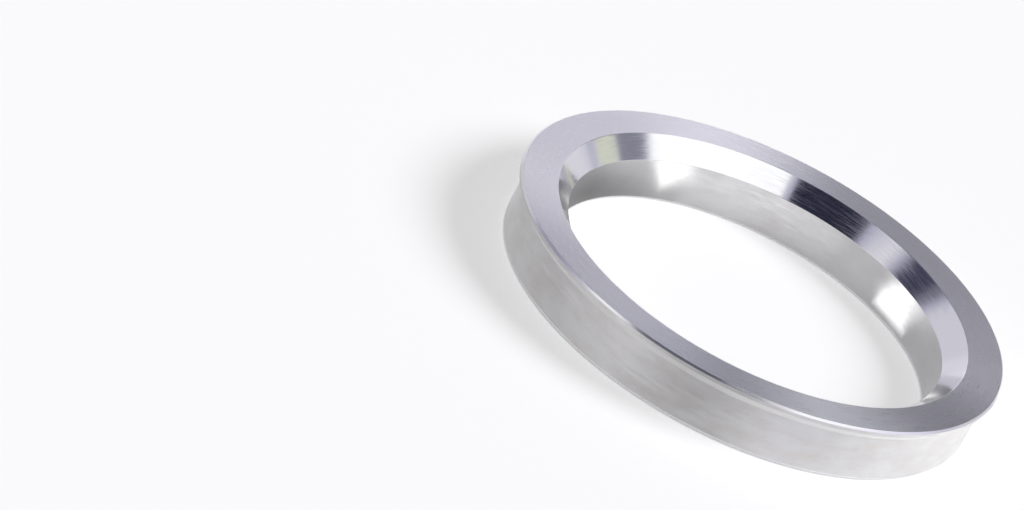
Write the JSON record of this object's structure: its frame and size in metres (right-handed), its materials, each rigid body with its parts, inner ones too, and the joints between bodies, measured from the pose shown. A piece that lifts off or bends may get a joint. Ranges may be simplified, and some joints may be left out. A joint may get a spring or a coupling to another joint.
{
  "type": "hub centric ring",
  "caption": "Turned aluminium ring that centres a wheel on a smaller hub: straight body, straight bore with a deep chamfer, and a thin flange with a conical seat underneath.",
  "frame": {"origin": "centre of the plain end, the flat face that the ring lies on", "axes": "+Z along the ring's axis, from the plain end to the flange face; X and Y are free, because the ring is round"},
  "size_m": [0.0756, 0.0756, 0.0096],
  "materials": {
    "turned_aluminium": "bare, turned, with fine tool marks and brighter chamfers"
  },
  "bodies": {
    "root": {"hub_ring": "turned_aluminium"}
  },
  "joints": []
}
